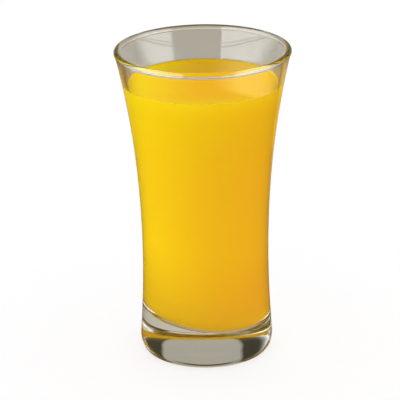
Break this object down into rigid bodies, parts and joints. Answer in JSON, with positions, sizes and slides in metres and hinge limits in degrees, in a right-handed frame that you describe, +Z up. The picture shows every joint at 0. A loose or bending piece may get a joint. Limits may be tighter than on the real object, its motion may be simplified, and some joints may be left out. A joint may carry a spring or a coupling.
{
  "type": "glass of orange juice",
  "caption": "Clear flared drinking glass with a narrow waist and a heavy rounded foot, filled nearly to the lip with smooth orange juice.",
  "frame": {"origin": "middle of the underside of the foot, in the plane that the glass stands on", "axes": "+Z up along the glass's axis, towards the mouth; +X towards the side where the thick glass floor is thinnest; +Y is away from the picture's camera"},
  "size_m": [0.0806, 0.0806, 0.1452],
  "materials": {
    "clear_glass": "clear and polished",
    "orange_juice": "smooth wet liquid, cloudy and opaque"
  },
  "bodies": {
    "root": {"glass": "clear_glass", "orange_juice": "orange_juice"}
  },
  "joints": []
}
